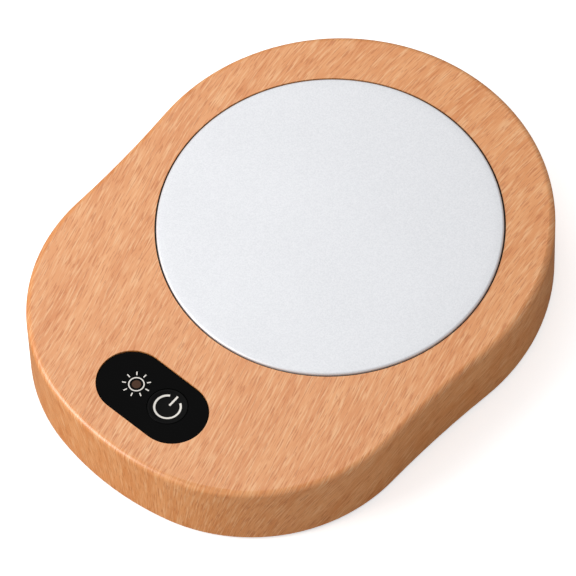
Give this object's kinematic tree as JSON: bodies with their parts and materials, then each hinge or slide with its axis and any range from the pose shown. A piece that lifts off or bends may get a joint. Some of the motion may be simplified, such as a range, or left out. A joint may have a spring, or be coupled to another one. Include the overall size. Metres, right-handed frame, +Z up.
{
  "type": "electric mug warmer",
  "caption": "Low pear-outlined electric mug warmer: grain-finished case, round metal heating plate, black oval control panel with a dished push button and lamp, rear supply socket.",
  "frame": {"origin": "on the table under the middle of the case's outline", "axes": "+Z up, +Y towards the rear with the supply socket, +X to the user's right, where the power button is"},
  "size_m": [0.1124, 0.1459, 0.0233],
  "materials": {
    "beech_grain": "beech-grain printed film, satin",
    "plate_aluminium": "fine blasted, matte",
    "gasket_silicone": "matte black silicone",
    "foot_silicone": "matte dark silicone",
    "cover_plastic": "moulded, light texture",
    "panel_black": "gloss black with white printed symbols",
    "panel_tape": "double-sided adhesive tape",
    "light_guide": "smoked translucent acrylic",
    "screw_steel": "zinc plated",
    "clamp_steel": "pressed sheet steel",
    "heater_foil": "polyimide foil with an etched track",
    "felt": "white fibre felt",
    "ceramic": "white ceramic sleeve",
    "fuse_case": "drawn can",
    "board_green": "green solder mask",
    "component_black": "moulded epoxy",
    "lamp_white": "moulded lamp body",
    "capacitor_can": "drawn can",
    "connector_white": "moulded nylon",
    "contact_brass": "gold-flashed strips",
    "switch_legs": "tinned legs",
    "lead_black": "insulated leads"
  },
  "bodies": {
    "housing": {"top_case": "beech_grain", "heating_plate": "plate_aluminium", "plate_gasket": "gasket_silicone", "foot_front_left": "foot_silicone", "foot_front_right": "foot_silicone", "foot_rear_left": "foot_silicone", "foot_rear_right": "foot_silicone", "base_cover": "cover_plastic", "control_panel": "panel_black", "panel_adhesive": "panel_tape", "indicator_lens": "light_guide", "cover_screws": "screw_steel", "clamp_screws": "screw_steel", "board_screws": "screw_steel", "supply_board_screws": "screw_steel", "socket_shell": "screw_steel", "clamp_plate": "clamp_steel", "switch_dome": "clamp_steel", "heater_element": "heater_foil", "insulation_pad": "felt", "thermistor": "ceramic", "thermal_fuse": "fuse_case", "control_board": "board_green", "supply_board": "board_green", "controller_chip": "component_black", "power_transistor": "component_black", "board_resistors": "component_black", "switch_case": "component_black", "socket_tongue": "component_black", "indicator_lamp": "lamp_white", "filter_capacitor": "capacitor_can", "heater_connector": "connector_white", "sensor_connector": "connector_white", "supply_connector": "connector_white", "socket_contacts": "contact_brass", "switch_legs": "switch_legs", "heater_leads": "lead_black", "sensor_leads": "lead_black", "supply_leads": "lead_black"},
    "button": {"power_button": "panel_black"},
    "plunger": {"switch_plunger": "component_black"}
  },
  "joints": [
    {"name": "button_press", "type": "slide", "parent": "housing", "child": "button", "axis": [0, 0, -1], "range_m": [0, 0.0004], "stiffness_N_per_m": 1500, "springref_m": -0.0003, "deforming": ["switch_dome"]},
    {"name": "plunger_press", "type": "slide", "parent": "housing", "child": "plunger", "axis": [0, 0, -1], "range_m": [0, 0.0004]}
  ],
  "couplings": [
    {"joint": "plunger_press", "follows": "button_press", "ratio": 1}
  ]
}
